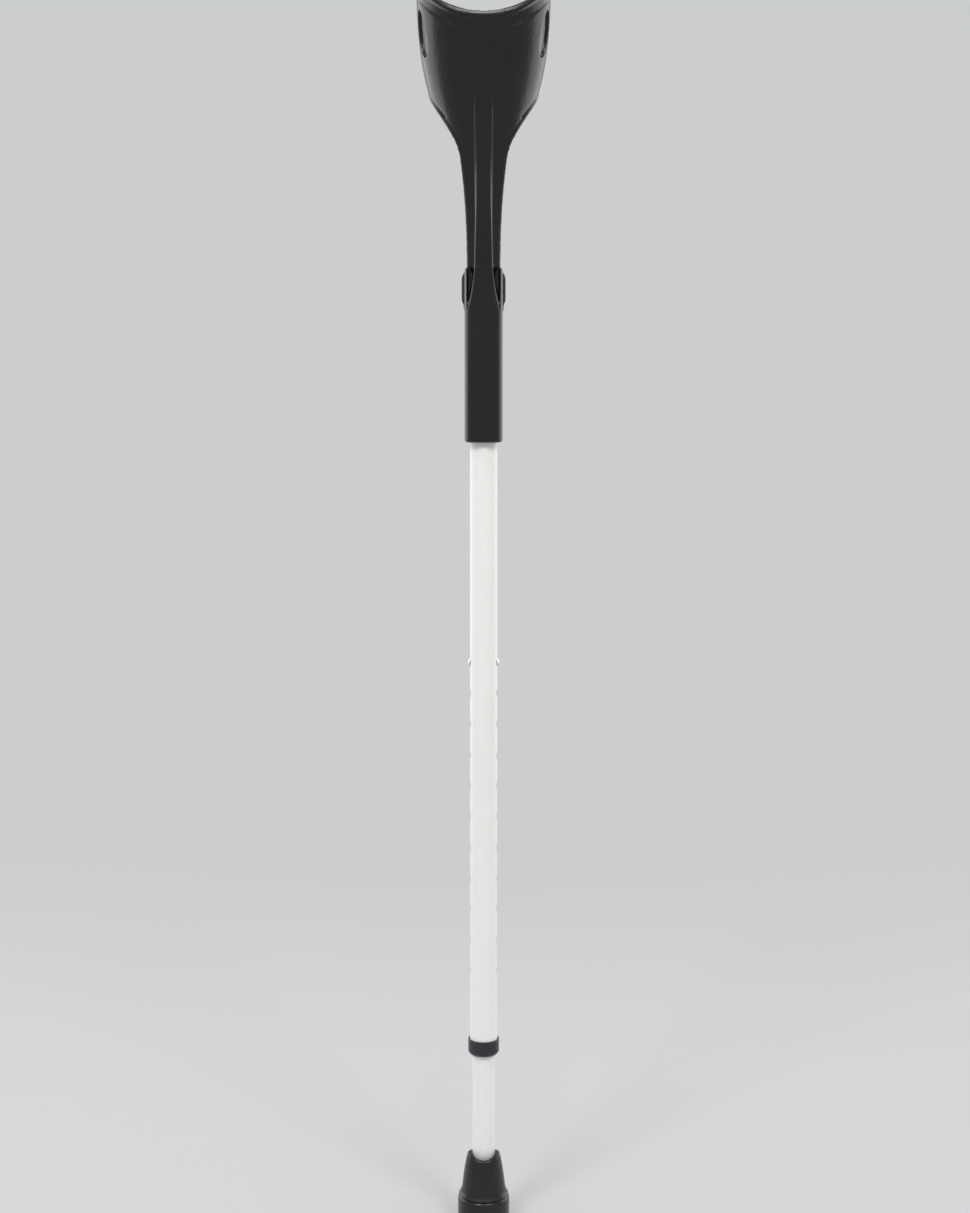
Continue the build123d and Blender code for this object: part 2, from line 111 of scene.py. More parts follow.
def stretched(tree, coordinates, along):
    """Coordinates squeezed along the tubes, so that what is drawn on them runs that way."""
    node = tree.nodes.new("ShaderNodeVectorMath")
    node.operation = "MULTIPLY"
    combine = tree.nodes.new("ShaderNodeCombineXYZ")
    combine.inputs["X"].default_value = 1.0
    combine.inputs["Y"].default_value = 1.0
    tree.links.new(along, combine.inputs["Z"])
    tree.links.new(coordinates, node.inputs[0])
    tree.links.new(combine.outputs[0], node.inputs[1])
    return node.outputs[0]


# Surface grain: the fine skin of a coat or a moulding, as a height.
grain, grain_in, grain_out = effect(
    "surface grain", inputs=[("Size", 600.0), ("Pits", 0.3)], outputs=["Height"]
)
grain_place = grain.nodes.new("ShaderNodeTexCoord").outputs["Object"]
skin = noise_node(grain, grain_place, grain_in.outputs["Size"], detail=3.0, roughness=0.6)
pits_to_skin = 0.7
pits = grain.nodes.new("ShaderNodeTexVoronoi")
pit_size = math_node(grain, "MULTIPLY", grain_in.outputs["Size"], pits_to_skin)
grain.links.new(grain_place, pits.inputs["Vector"])
grain.links.new(pit_size, pits.inputs["Scale"])
pitted = math_node(grain, "MULTIPLY", pits.outputs["Distance"], grain_in.outputs["Pits"])
grain.links.new(math_node(grain, "ADD", skin, pitted), grain_out.inputs["Height"])

# Handling marks: hairline scuffs that run along the tubes, and broad dull patches.
marks, marks_in, marks_out = effect(
    "handling marks",
    inputs=[("Along", 0.12), ("Scuff level", 0.62), ("Patch size", 18.0)],
    outputs=["Scuffs", "Patches"],
)
marks_place = marks.nodes.new("ShaderNodeTexCoord").outputs["Object"]
lengthwise = stretched(marks, marks_place, marks_in.outputs["Along"])
hairlines = noise_node(marks, lengthwise, scale=900.0, detail=4.0, roughness=0.7)
where_rubbed = noise_node(marks, marks_place, scale=45.0, detail=2.0)
over_level = math_node(marks, "SUBTRACT", hairlines, marks_in.outputs["Scuff level"])
scuff_contrast = 9.0
strong = math_node(marks, "MULTIPLY", over_level, scuff_contrast)
rubbed = math_node(marks, "MULTIPLY", math_node(marks, "MAXIMUM", strong, 0.0), where_rubbed)
marks.links.new(math_node(marks, "MINIMUM", rubbed, 1.0), marks_out.inputs["Scuffs"])
patches = noise_node(
    marks, marks_place, marks_in.outputs["Patch size"], detail=3.0, roughness=0.55
)
marks.links.new(patches, marks_out.inputs["Patches"])

# Rubbed edges: outside corners tinted by wear, and on the dark parts lightened as a painted
# highlight, broken up so they aren't even.
edge_wear_and_highlight, edge_wear_and_highlight_in, edge_wear_and_highlight_out = effect(
    "rubbed edges", inputs=[("Start", 0.53), ("Full", 0.62)], outputs=["Edges"]
)
corners = edge_wear_and_highlight.nodes.new("ShaderNodeNewGeometry").outputs["Pointiness"]
edge_wear_and_highlight_place = edge_wear_and_highlight.nodes.new("ShaderNodeTexCoord").outputs["Object"]
uneven = noise_node(edge_wear_and_highlight, edge_wear_and_highlight_place, scale=160.0, detail=3.0)
unevenness = 0.03
either_way = math_node(edge_wear_and_highlight, "SUBTRACT", uneven, 0.5)
shifted = math_node(edge_wear_and_highlight, "MULTIPLY", either_way, unevenness)
broken = math_node(edge_wear_and_highlight, "ADD", corners, shifted)
ramp = edge_wear_and_highlight.nodes.new("ShaderNodeMapRange")
edge_wear_and_highlight.links.new(broken, ramp.inputs["Value"])
edge_wear_and_highlight.links.new(edge_wear_and_highlight_in.outputs["Start"], ramp.inputs["From Min"])
edge_wear_and_highlight.links.new(edge_wear_and_highlight_in.outputs["Full"], ramp.inputs["From Max"])
edge_wear_and_highlight.links.new(ramp.outputs["Result"], edge_wear_and_highlight_out.inputs["Edges"])


def mixed_colour(tree, factor, colour, over):
    """A colour laid over another one wherever the factor says. Both may be a socket."""
    node = tree.nodes.new("ShaderNodeMix")
    node.data_type = "RGBA"
    tree.links.new(factor, node.inputs["Factor"])
    for socket, value in (("A", colour), ("B", over)):
        if hasattr(value, "is_output"):
            tree.links.new(value, node.inputs[socket])
        else:
            node.inputs[socket].default_value = (*value, 1.0)
    return node.outputs["Result"]


def surface(name, colour, other_colour, scuff_colour, roughness, grain_size, grain_depth,
            pits=0.3, along=0.12, scuff_level=0.62, patch_size=18.0, metallic=0.0,
            specular=0.5, edge_wear_and_highlight_colour=None):
    """A finish: two shades in patches, scuffs, rubbed edges (on dark parts also a painted
    highlight), uneven gloss and a fine grain.
    """
    made = bpy.data.materials.new(name)
    made.use_nodes = True
    tree = made.node_tree
    shader = tree.nodes["Principled BSDF"]
    shader.inputs["Metallic"].default_value = metallic
    shader.inputs["Specular IOR Level"].default_value = specular
    worn = tree.nodes.new("ShaderNodeGroup")
    worn.node_tree = marks
    worn.inputs["Along"].default_value = along
    worn.inputs["Scuff level"].default_value = scuff_level
    worn.inputs["Patch size"].default_value = patch_size
    shades = mixed_colour(tree, worn.outputs["Patches"], colour, other_colour)
    top_colour = mixed_colour(tree, worn.outputs["Scuffs"], shades, scuff_colour)
    if edge_wear_and_highlight_colour:
        edge_wear_and_highlight_node = tree.nodes.new("ShaderNodeGroup")
        edge_wear_and_highlight_node.node_tree = edge_wear_and_highlight
        top_colour = mixed_colour(tree, edge_wear_and_highlight_node.outputs["Edges"], top_colour, edge_wear_and_highlight_colour)
    tree.links.new(top_colour, shader.inputs["Base Color"])
    patch_low, patch_high = 0.3, 0.7
    gloss = tree.nodes.new("ShaderNodeMapRange")
    gloss.inputs["To Min"].default_value = roughness[0]
    gloss.inputs["To Max"].default_value = roughness[1]
    gloss.inputs["From Min"].default_value = patch_low
    gloss.inputs["From Max"].default_value = patch_high
    tree.links.new(worn.outputs["Patches"], gloss.inputs["Value"])
    scuff_dullness = 0.2
    duller = math_node(tree, "MULTIPLY", worn.outputs["Scuffs"], scuff_dullness)
    uneven_gloss = math_node(tree, "ADD", gloss.outputs["Result"], duller)
    tree.links.new(uneven_gloss, shader.inputs["Roughness"])
    skin_grain = tree.nodes.new("ShaderNodeGroup")
    skin_grain.node_tree = grain
    skin_grain.inputs["Size"].default_value = grain_size
    skin_grain.inputs["Pits"].default_value = pits
    bump = tree.nodes.new("ShaderNodeBump")
    bump.inputs["Strength"].default_value = 1.0
    bump.inputs["Distance"].default_value = grain_depth
    tree.links.new(skin_grain.outputs["Height"], bump.inputs["Height"])
    tree.links.new(bump.outputs["Normal"], shader.inputs["Normal"])
    return made


def powder_coat(name):
    return surface(
        name,
        colour=(0.80, 0.795, 0.775), other_colour=(0.83, 0.825, 0.805),
        scuff_colour=(0.60, 0.59, 0.57), edge_wear_and_highlight_colour=(0.56, 0.56, 0.565),
        roughness=(0.34, 0.42), grain_size=900.0, grain_depth=0.04 * mm, along=0.05,
    )


tube_foot, tube_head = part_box("upper_tube")[0][2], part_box("upper_tube")[1][2]
outer_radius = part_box("upper_tube")[1][1]
wall = 1.2 * mm
hole_radius = 4.3 * mm
hole_pitch = 25 * mm
hole_edge = 0.25 * mm
sawn_edge = 0.3 * mm
hole_count = 11
top_hole = sum(c[2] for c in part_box("snap_button_left")) / 2
height_holes = [top_hole - hole_pitch * step for step in range(hole_count)]
half_round, tile_up = 28, 12  # points across half the tube's wall, and up one hole's share of it


def round_hole(radius, around_hole, hole):
    """A point on the edge of a hole bored straight through the tube's side."""
    y = hole * math.cos(around_hole)
    return math.asin(y / radius), hole * math.sin(around_hole)


def tube_point(radius, angle, z):
    return Vector((radius * math.cos(angle), radius * math.sin(angle), z))


def tube_ring(bm, radius, z):
    return [
        bm.verts.new(tube_point(radius, math.pi / half_round * i, z))
        for i in range(2 * half_round)
    ]


def tile_border(half_turn, half_height):
    """Points once round a piece of wall: angle from the hole's line, height from its middle."""
    across = [-half_turn + 2 * half_turn * i / half_round for i in range(half_round)]
    back = [half_turn - 2 * half_turn * i / half_round for i in range(half_round)]
    up = [-half_height + 2 * half_height * i / tile_up for i in range(tile_up)]
    down = [half_height - 2 * half_height * i / tile_up for i in range(tile_up)]
    points = [(angle, -half_height) for angle in across] + [(half_turn, z) for z in up]
    return points + [(angle, half_height) for angle in back] + [(-half_turn, z) for z in down]


def strip(bm, lower, upper):
    """Quads between two closed rings of the same number of vertices."""
    for i in range(len(lower)):
        j = (i + 1) % len(lower)
        bm.faces.new((lower[i], lower[j], upper[j], upper[i]))


def punched_band(bm, outer, inner, middle, height, hole):
    """A band of tube wall with one hole through each side."""
    border = tile_border(math.pi / 2, height / 2)
    out_from_hole = (1.0, 0.88, 0.76, 0.64, 0.52, 0.40, 0.29, 0.19, 0.10, 0.04, 0.0)
    for turn in (0, math.pi):
        rims = []
        for radius, edge in ((outer, hole_edge), (inner, 0.0)):
            previous = None
            for share in out_from_hole:
                ring = []
                for angle, up in border:
                    way = math.atan2(up, angle * radius)
                    hole_angle, hole_up = round_hole(radius, way, hole + edge)
                    a = hole_angle + (angle - hole_angle) * share
                    z = hole_up + (up - hole_up) * share
                    ring.append(bm.verts.new(tube_point(radius, a + turn, middle + z)))
                if previous:
                    strip(bm, previous, ring)
                previous = ring
            rims.append(previous)
        throat = []
        for angle, up in border:
            way = math.atan2(up, angle * outer)
            a, z = round_hole(outer - hole_edge, way, hole)
            throat.append(bm.verts.new(tube_point(outer - hole_edge, a + turn, middle + z)))
        strip(bm, rims[0], throat)
        strip(bm, throat, rims[1])


def plain_band(bm, outer, inner, low, high, steps):
    """A band of tube wall with no holes, cut to the same points as the punched ones."""
    for radius in (outer, inner):
        previous = None
        for step in range(steps + 1):
            z = low + (high - low) * step / steps
            ring = tube_ring(bm, radius, z)
            if previous:
                strip(bm, previous, ring)
            previous = ring


def tube_end(bm, outer, inner, z, inwards):
    """The sawn end of a tube, its outer edge broken; inwards is the way into the tube."""
    broken = z + inwards * sawn_edge
    profile = ((outer, broken), (outer - sawn_edge, z), (inner, z), (inner, broken))
    rings = [tube_ring(bm, radius, height) for radius, height in profile]
    for lower, upper in zip(rings, rings[1:]):
        strip(bm, lower, upper)


def punched_tube(name, node, body, material, outer, foot, head, holes, hole):
    """A tube of round holes in pairs, one pair to each of the given heights."""
    bm = bmesh.new()
    inner = outer - wall
    low, high = min(holes) - hole_pitch / 2, max(holes) + hole_pitch / 2
    for middle in holes:
        punched_band(bm, outer, inner, middle, hole_pitch, hole)
    plain_band(bm, outer, inner, foot + sawn_edge, low, steps=4)
    plain_band(bm, outer, inner, high, head - sawn_edge, steps=8)
    tube_end(bm, outer, inner, foot, inwards=1)
    tube_end(bm, outer, inner, head, inwards=-1)
    joined_mesh(name, bm, material, body, node)


punched_tube("upper_tube_coated", "upper_tube", "frame", powder_coat("pale powder coat"),
             outer_radius, tube_foot, tube_head, height_holes, hole_radius)

# ---------------------------------------------------------------------------
# Lower tube: the same stock a size down, with one pair of holes for the snap
# buttons. It slides inside the upper tube and stands in the ferrule. Just above
# the ferrule's mouth the coat is painted darker, as painted contact shade.
lower_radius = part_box("lower_tube")[1][1]
lower_foot, lower_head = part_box("lower_tube")[0][2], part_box("lower_tube")[1][2]
button_hole = 4.2 * mm
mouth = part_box("ferrule")[1][2]
# Painted contact shade: darkest just below the ferrule's mouth, fading out 6 mm above it.
contact_shade_above, contact_shade_below = 6 * mm, 5 * mm
foot_coat = powder_coat("pale powder coat, foot end")
tree = foot_coat.node_tree
foot_place = tree.nodes.new("ShaderNodeTexCoord").outputs["Object"]
up_the_tube = tree.nodes.new("ShaderNodeSeparateXYZ")
tree.links.new(foot_place, up_the_tube.inputs[0])
contact_shade = tree.nodes.new("ShaderNodeMapRange")
contact_shade.interpolation_type = "SMOOTHSTEP"
contact_shade.inputs["From Min"].default_value = mouth + contact_shade_above
contact_shade.inputs["From Max"].default_value = mouth - contact_shade_below
contact_shade.inputs["To Max"].default_value = 0.6
tree.links.new(up_the_tube.outputs["Z"], contact_shade.inputs["Value"])
coat_colour = tree.nodes["Principled BSDF"].inputs["Base Color"]
# The coat's colour is mixed towards dark grey here: painted shade near the ferrule's mouth.
shaded_coat_colour = mixed_colour(
    tree, contact_shade.outputs["Result"], coat_colour.links[0].from_socket, (0.22, 0.23, 0.24)
)
tree.links.new(shaded_coat_colour, coat_colour)
punched_tube("lower_tube_coated", "lower_tube", "lower_section", foot_coat,
             lower_radius, lower_foot, lower_head, [top_hole], button_hole)

# ---------------------------------------------------------------------------
# Snap buttons: turned steel pins with polished domes, each on a flange that
# stops it inside the lower tube. A bent strip spring is riveted behind them.
def turned(name, profile, material, body, node, turn=Matrix(), centre=(0, 0, 0), steps=96):
    """A lathe piece: a list of (radius, along) points turned round an axis."""
    bm = bmesh.new()
    rings = []
    for radius, along in profile:
        if radius == 0:
            rings.append([bm.verts.new((0, 0, along))])
        else:
            angles = [2 * math.pi * i / steps for i in range(steps)]
            rings.append([bm.verts.new(tube_point(radius, angle, along)) for angle in angles])
    closed = profile[0][0] > 0 and profile[-1][0] > 0
    pairs = list(zip(rings, rings[1:]))
    if closed:
        pairs.append((rings[-1], rings[0]))
    for lower, upper in pairs:
        if len(lower) > 1 and len(upper) > 1:
            strip(bm, lower, upper)
        elif len(lower) > 1 or len(upper) > 1:
            tip, ring = (lower[0], upper) if len(lower) == 1 else (upper[0], lower)
            for i in range(len(ring)):
                bm.faces.new((tip, ring[i], ring[(i + 1) % len(ring)]))
    bmesh.ops.transform(bm, matrix=Matrix.Translation(Vector(centre)) @ turn, verts=bm.verts)
    return joined_mesh(name, bm, material, body, node)


def arc(centre, radius, start, end, steps):
    """Profile points along an arc, its angles in degrees from the radius axis."""
    angles = [math.radians(start + (end - start) * i / steps) for i in range(steps + 1)]
    return [
        (centre[0] + radius * math.cos(angle), centre[1] + radius * math.sin(angle))
        for angle in angles
    ]


def give_material(piece, material):
    """Give a piece one material in place of those it has."""
    piece.data.materials.clear()
    piece.data.materials.append(material)


polished_steel = surface(
    "polished steel",
    colour=(0.72, 0.72, 0.73), other_colour=(0.66, 0.66, 0.67), scuff_colour=(0.5, 0.5, 0.51),
    roughness=(0.16, 0.26), grain_size=1500.0, grain_depth=0.004 * mm,
    along=1.0, patch_size=300.0, metallic=1.0,
)
button_radius = 4 * mm
dome = 2.6 * mm
dome_radius = (dome**2 + button_radius**2) / (2 * dome)
dome_turn = math.degrees(math.asin(button_radius / dome_radius))
rivet_radius, rivet_head, rivet_head_height = 1.6 * mm, 2.3 * mm, 0.5 * mm
flange_radius, flange_height, flange_edge = 5.2 * mm, 0.9 * mm, 0.15 * mm
for hand, way_out in (("left", -1), ("right", 1)):
    node = "snap_button_" + hand
    tip = max(abs(c[0]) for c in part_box(node))
    back = min(abs(c[0]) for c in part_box(node))
    strip_face = back + 1.1 * mm
    flange_top = strip_face + flange_height
    profile = [
        (0, back), (rivet_head - 0.2 * mm, back), (rivet_head, back + 0.2 * mm),
        (rivet_head, back + rivet_head_height), (rivet_radius, back + rivet_head_height),
        (rivet_radius, strip_face), (flange_radius - flange_edge, strip_face),
        (flange_radius, strip_face + flange_edge), (flange_radius, flange_top - flange_edge),
        (flange_radius - flange_edge, flange_top), (button_radius, flange_top),
    ]
    crown = arc((0, tip - dome_radius), dome_radius, 90 - dome_turn, 90, steps=16)
    profile += crown[:-1] + [(0, tip)]
    turned("button_" + hand + "_pin", profile, polished_steel, "button_" + hand, node,
           turn=Matrix.Rotation(way_out * math.pi / 2, 4, "Y"),
           centre=(0, 0, top_hole), steps=64)

spring_steel = surface(
    "spring steel",
    colour=(0.50, 0.50, 0.51), other_colour=(0.42, 0.42, 0.44), scuff_colour=(0.35, 0.33, 0.31),
    roughness=(0.28, 0.4), grain_size=900.0, grain_depth=0.01 * mm, along=1.0, metallic=1.0,
)
give_material(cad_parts["snap_spring"], spring_steel)

# ---------------------------------------------------------------------------
# Collar and guide bush: dark moulded plastic. The collar plugs into the lower
# end of the upper tube and takes the rattle out of the slide; the bush rides
# inside on the head of the lower tube.
bearing_plastic = surface(
    "dark bearing plastic",
    colour=(0.014, 0.016, 0.0195), other_colour=(0.019, 0.0215, 0.026),
    scuff_colour=(0.08, 0.08, 0.085), roughness=(0.22, 0.32),
    grain_size=1100.0, grain_depth=0.015 * mm, scuff_level=0.60, specular=0.4,
)
collar_low, collar_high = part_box("tube_collar")[0][2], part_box("tube_collar")[1][2]
collar_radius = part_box("tube_collar")[1][0]
shoulder = collar_low + 12.4 * mm
bore = lower_radius + 0.1 * mm
lead_in = 0.4 * mm
bevel_round = 0.8 * mm
shoulder_round = 0.6 * mm
plug_radius = outer_radius - wall - 0.05 * mm
collar_profile = [
    (bore, collar_low + lead_in), (bore + lead_in, collar_low),
    (collar_radius - 1.9 * mm, collar_low), (collar_radius - 1.5 * mm, collar_low + 0.15 * mm),
    (collar_radius - 0.25 * mm, collar_low + 1.9 * mm),
]
collar_profile += arc(
    (collar_radius - bevel_round, collar_low + 2.5 * mm), bevel_round, -35, 0, steps=5
)
collar_profile += arc(
    (collar_radius - shoulder_round, shoulder - shoulder_round), shoulder_round, 0, 90, steps=6
)
collar_profile += [
    (outer_radius + 0.25 * mm, shoulder), (outer_radius, shoulder - 0.2 * mm),
    (outer_radius, tube_foot), (plug_radius, tube_foot), (plug_radius, collar_high - lead_in),
    (plug_radius - 0.25 * mm, collar_high), (bore, collar_high),
]
turned("collar_moulding", collar_profile, bearing_plastic, "frame", "tube_collar")
give_material(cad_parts["guide_bush"], bearing_plastic)

# ---------------------------------------------------------------------------
# Ferrule: moulded rubber, pushed on to the lower tube over a steel disc. A
# domed lip, lower at the front and the back, grips the tube. The skirt flares
# to a bead, and round grooves in the sole give it tread.
ferrule_rubber = surface(
    "ferrule rubber",
    colour=(0.0045, 0.005, 0.006), other_colour=(0.008, 0.0085, 0.0095),
    scuff_colour=(0.05, 0.048, 0.046), roughness=(0.22, 0.32),
    grain_size=700.0, grain_depth=0.02 * mm, pits=0.5, along=0.6, scuff_level=0.6,
    patch_size=60.0, specular=0.42,
)
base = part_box("ferrule")[1][0]
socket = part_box("ferrule_disc")[0][2]
socket_top = mouth - 2 * mm
socket_steps = 12
lip_round, lip_middle = 2.1 * mm, 11.1 * mm
crease = 25.5 * mm
bead_round = 3.6 * mm
sole_edge, sole_round = 1.6 * mm, 1.4 * mm
groove_pitch = 6.2 * mm
scoop, scooped_height = 3.2 * mm, 14 * mm

# Points of the outline in millimetres: a radius, and a height from the mouth or the
# crease. A groove's points run from its own middle, and its heights from the floor.
skirt_below_mouth = ((13.1, 1.6), (13.6, 3.4), (14.3, 6.5), (15.3, 12), (16.3, 18.5), (17.0, 24))
flare_above_crease = ((17.5, 6.0), (18.4, 2.8), (19.5, 0.9), (19.9, 0.2))
groove_below_crease = ((19.9, 0.1), (19.1, 0.4), (19.0, 0.8))
sole_groove = ((1.3, 0), (1.2, 2.3), (1.0, 2.5), (-1.0, 2.5), (-1.2, 2.3), (-1.3, 0))


def bend(points, steps):
    """A smooth profile through a few points, by Catmull-Rom arcs."""
    made = []
    ends = [points[0]] + points + [points[-1]]
    for four in zip(ends, ends[1:], ends[2:], ends[3:]):
        for i in range(steps):
            t = i / steps
            made.append(tuple(
                0.5 * (2 * q + (r - p) * t + (2 * p - 5 * q + 4 * r - s) * t**2
                       + (3 * q - p - 3 * r + s) * t**3)
                for p, q, r, s in zip(*four)
            ))
    return made + [points[-1]]


skirt = [(radius * mm, mouth - down * mm) for radius, down in skirt_below_mouth]
flare = [(radius * mm, crease + up * mm) for radius, up in flare_above_crease]
ferrule_profile = [(0, socket), (lower_radius, socket)]
ferrule_profile += [
    (lower_radius, socket + (socket_top - socket) * i / socket_steps)
    for i in range(1, socket_steps + 1)
]
ferrule_profile += arc((lip_middle, mouth - lip_round), lip_round, 170, 35, steps=14)
ferrule_profile += bend(skirt + flare, steps=6)
ferrule_profile += [(radius * mm, crease - down * mm) for radius, down in groove_below_crease]
ferrule_profile += arc((base - bead_round, crease - 4.0 * mm), bead_round, 58, 0, steps=14)
ferrule_profile += [(base, 12 * mm), (base, sole_edge)]
ferrule_profile += arc((base - sole_round, sole_round), sole_round, 0, -90, steps=6)
for groove in (2.5, 1.5, 0.5):
    for across, up in sole_groove:
        ferrule_profile.append((groove_pitch * groove + across * mm, up * mm))
ferrule_profile.append((0, 0))
ferrule = turned("ferrule_moulding", ferrule_profile, ferrule_rubber, "lower_section", "ferrule",
                 steps=128)
for point in ferrule.data.vertices:
    sideways = abs(point.co.y) / max(math.hypot(point.co.x, point.co.y), 1e-6)
    rise = min(max((point.co.z - (mouth - scooped_height)) / scooped_height, 0), 1)
    point.co.z -= scoop * sideways**2 * rise**2 * (3 - 2 * rise)
give_material(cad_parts["ferrule_disc"], spring_steel)

# ---------------------------------------------------------------------------
# Handle: cuff, neck, hub, sleeve and grip core in one injection moulding of
# black plastic. Every edge of a moulding is soft, so the solid is skinned
# again in small even squares and rubbed smooth.
black_moulding = surface(
    "black moulding",
    colour=(0.004, 0.004, 0.0045), other_colour=(0.0065, 0.0065, 0.007),
    # The lighter edge colour paints a highlight along the moulding's outside edges.
    scuff_colour=(0.03, 0.03, 0.031), edge_wear_and_highlight_colour=(0.10, 0.10, 0.102), roughness=(0.20, 0.30),
    grain_size=1400.0, grain_depth=0.012 * mm, along=0.35, scuff_level=0.66,
    patch_size=25.0, specular=0.38,
)
skin_square = 0.6 * mm


def rub(piece, name, times, group=""):
    """Smooth the whole of a piece, or only the points of one of its vertex groups."""
    rubbing = piece.modifiers.new(name, "SMOOTH")
    rubbing.factor = 0.5
    rubbing.iterations = times
    rubbing.vertex_group = group


def settle(piece):
    """Apply a piece's modifiers and leave every face smooth."""
    evaluated = piece.evaluated_get(bpy.context.evaluated_depsgraph_get())
    skin = bpy.data.meshes.new_from_object(evaluated)
    piece.modifiers.clear()
    piece.data = skin
    skin.name = piece.name
    skin.polygons.foreach_set("use_smooth", [True] * len(skin.polygons))


def reskinned(name, node):
    """A copy of a CAD piece with an even skin of small squares and softened edges."""
    piece = bpy.data.objects.new(name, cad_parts[node].data.copy())
    bpy.context.scene.collection.objects.link(piece)
    skinning = piece.modifiers.new("even skin", "REMESH")
    skinning.mode = "VOXEL"
    skinning.voxel_size = skin_square
    rub(piece, "rubbed flat", times=8)
    pulling = piece.modifiers.new("pulled on to the form", "SHRINKWRAP")
    pulling.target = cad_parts[node]
    rub(piece, "rubbed edges", times=12)
    settle(piece)
    return piece


handle = reskinned("handle_moulded", "handle_moulding")

# The sunk band under the rim dies away across the back of the cuff.
rim_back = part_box("handle_moulding")[1][2] - 34.268 * mm
band_top, band_foot, fade_up = 5 * mm, 20 * mm, 2 * mm
band_side, fade_side = 26 * mm, 14 * mm
faded = handle.vertex_groups.new(name="faded band")
for point in handle.data.vertices:
    down = rim_back - point.co.z
    from_side = band_side - abs(point.co.x)
    if band_top < down < band_foot and from_side > 0:
        up_share = min((down - band_top) / fade_up, (band_foot - down) / fade_up, 1.0)
        side_share = min(from_side / fade_side, 1.0)
        faded.add([point.index], side_share * up_share, "REPLACE")
rub(handle, "faded band", times=60, group="faded band")
settle(handle)
give_material(handle, black_moulding)
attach(handle, "frame")
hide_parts("handle_moulding")

# ---------------------------------------------------------------------------
# Grip: a soft rubber cover, a rounded square in section and a little waisted,
# slid over the core of the handle. Fine ribs are moulded round it for hold,
# and its two ends are plain.
grip_rubber = surface(
    "grip rubber",
    colour=(0.020, 0.020, 0.021), other_colour=(0.030, 0.030, 0.031),
    # The lighter edge colour paints a highlight along the grip's outside edges.
    scuff_colour=(0.07, 0.07, 0.07), edge_wear_and_highlight_colour=(0.06, 0.06, 0.061), roughness=(0.42, 0.58),
    grain_size=950.0, grain_depth=0.12 * mm, pits=0.9, along=1.0, scuff_level=0.64,
    patch_size=40.0,
)
cover = reskinned("grip_cover_moulded", "grip_cover")
cover_low, cover_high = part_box("grip_cover")
grip_axis = (cover_low[2] + cover_high[2]) / 2
rib_pitch, rib_depth = 3.5 * mm, 0.35 * mm
plain_end, rib_fade = 12 * mm, 5 * mm
ribbed = []
for point in cover.data.vertices:
    faces_out = point.co.x * point.normal.x + (point.co.z - grip_axis) * point.normal.z > 0
    from_end = min(point.co.y - cover_low[1], cover_high[1] - point.co.y)
    strength = min(max((from_end - plain_end) / rib_fade, 0), 1) * faces_out
    rib_turn = 2 * math.pi * (point.co.y - cover_low[1]) / rib_pitch
    depth = rib_depth * strength * (0.5 + 0.5 * math.cos(rib_turn))
    ribbed.append(point.co - point.normal * depth)
for point, place in zip(cover.data.vertices, ribbed):
    point.co = place
give_material(cover, grip_rubber)
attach(cover, "frame")
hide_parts("grip_cover")

# ---------------------------------------------------------------------------
# End cap and screw: a plastic cap is plugged into the front end of the grip,
# and a zinc-plated cross-head screw goes through the front of the sleeve and
# holds the handle on the upper tube.
cap_plastic = surface(
    "cap plastic",
    colour=(0.024, 0.024, 0.025), other_colour=(0.03, 0.03, 0.031),
    scuff_colour=(0.08, 0.08, 0.08), roughness=(0.38, 0.48),
    grain_size=1100.0, grain_depth=0.02 * mm, along=1.0,
)
zinc = surface(
    "zinc plate",
    colour=(0.58, 0.58, 0.60), other_colour=(0.50, 0.50, 0.52), scuff_colour=(0.4, 0.4, 0.4),
    roughness=(0.3, 0.4), grain_size=900.0, grain_depth=0.01 * mm, along=1.0, metallic=1.0,
)
give_material(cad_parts["grip_end_cap"], cap_plastic)
give_material(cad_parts["handle_screw"], zinc)

# ---------------------------------------------------------------------------
# Studio: a pale matt floor that fades into an even pale surround, a tall soft
# panel behind each shoulder, a small lamp overhead and two key lamps in front.
# The floor stays under the ferrule when the crutch is lengthened.
def camera_ray_share(tree):
    """One for what the camera sees directly or in a mirror or through glass, else nothing."""
    path = tree.nodes.new("ShaderNodeLightPath")
    seen, through = path.outputs["Is Camera Ray"], path.outputs["Is Transmission Ray"]
    direct = math_node(tree, "MAXIMUM", seen, through)
    return math_node(tree, "MAXIMUM", direct, path.outputs["Is Glossy Ray"])


surround = (0.60, 0.61, 0.62, 1.0)
floor_radius, fade_from, fade_to = 3.0, 0.35, 1.5
floor_matt = bpy.data.materials.new("pale matt floor")
floor_matt.use_nodes = True
tree = floor_matt.node_tree
floor_shader = tree.nodes["Principled BSDF"]
floor_shader.inputs["Base Color"].default_value = (0.44, 0.445, 0.45, 1)
floor_shader.inputs["Roughness"].default_value = 0.85
floor_shader.inputs["Specular IOR Level"].default_value = 0.2
glow = tree.nodes.new("ShaderNodeEmission")
glow.inputs["Color"].default_value = surround
far = tree.nodes.new("ShaderNodeMapRange")
far.interpolation_type = "SMOOTHSTEP"
far.inputs["From Min"].default_value = fade_from
far.inputs["From Max"].default_value = fade_to
distance = tree.nodes.new("ShaderNodeVectorMath")
distance.operation = "LENGTH"
tree.links.new(tree.nodes.new("ShaderNodeTexCoord").outputs["Object"], distance.inputs[0])
tree.links.new(distance.outputs["Value"], far.inputs["Value"])
fade = math_node(tree, "MULTIPLY", far.outputs["Result"], camera_ray_share(tree))
blend = tree.nodes.new("ShaderNodeMixShader")
tree.links.new(fade, blend.inputs[0])
tree.links.new(floor_shader.outputs[0], blend.inputs[1])
tree.links.new(glow.outputs[0], blend.inputs[2])
tree.links.new(blend.outputs[0], tree.nodes["Material Output"].inputs["Surface"])
bm = bmesh.new()
bmesh.ops.create_circle(bm, cap_ends=True, cap_tris=True, segments=96, radius=floor_radius)
mesh = bpy.data.meshes.new("studio_floor")
bm.to_mesh(mesh)
bm.free()
mesh.materials.append(floor_matt)
studio_floor = bpy.data.objects.new("studio_floor", mesh)
bpy.context.scene.collection.objects.link(studio_floor)
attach(studio_floor, "lower_section")

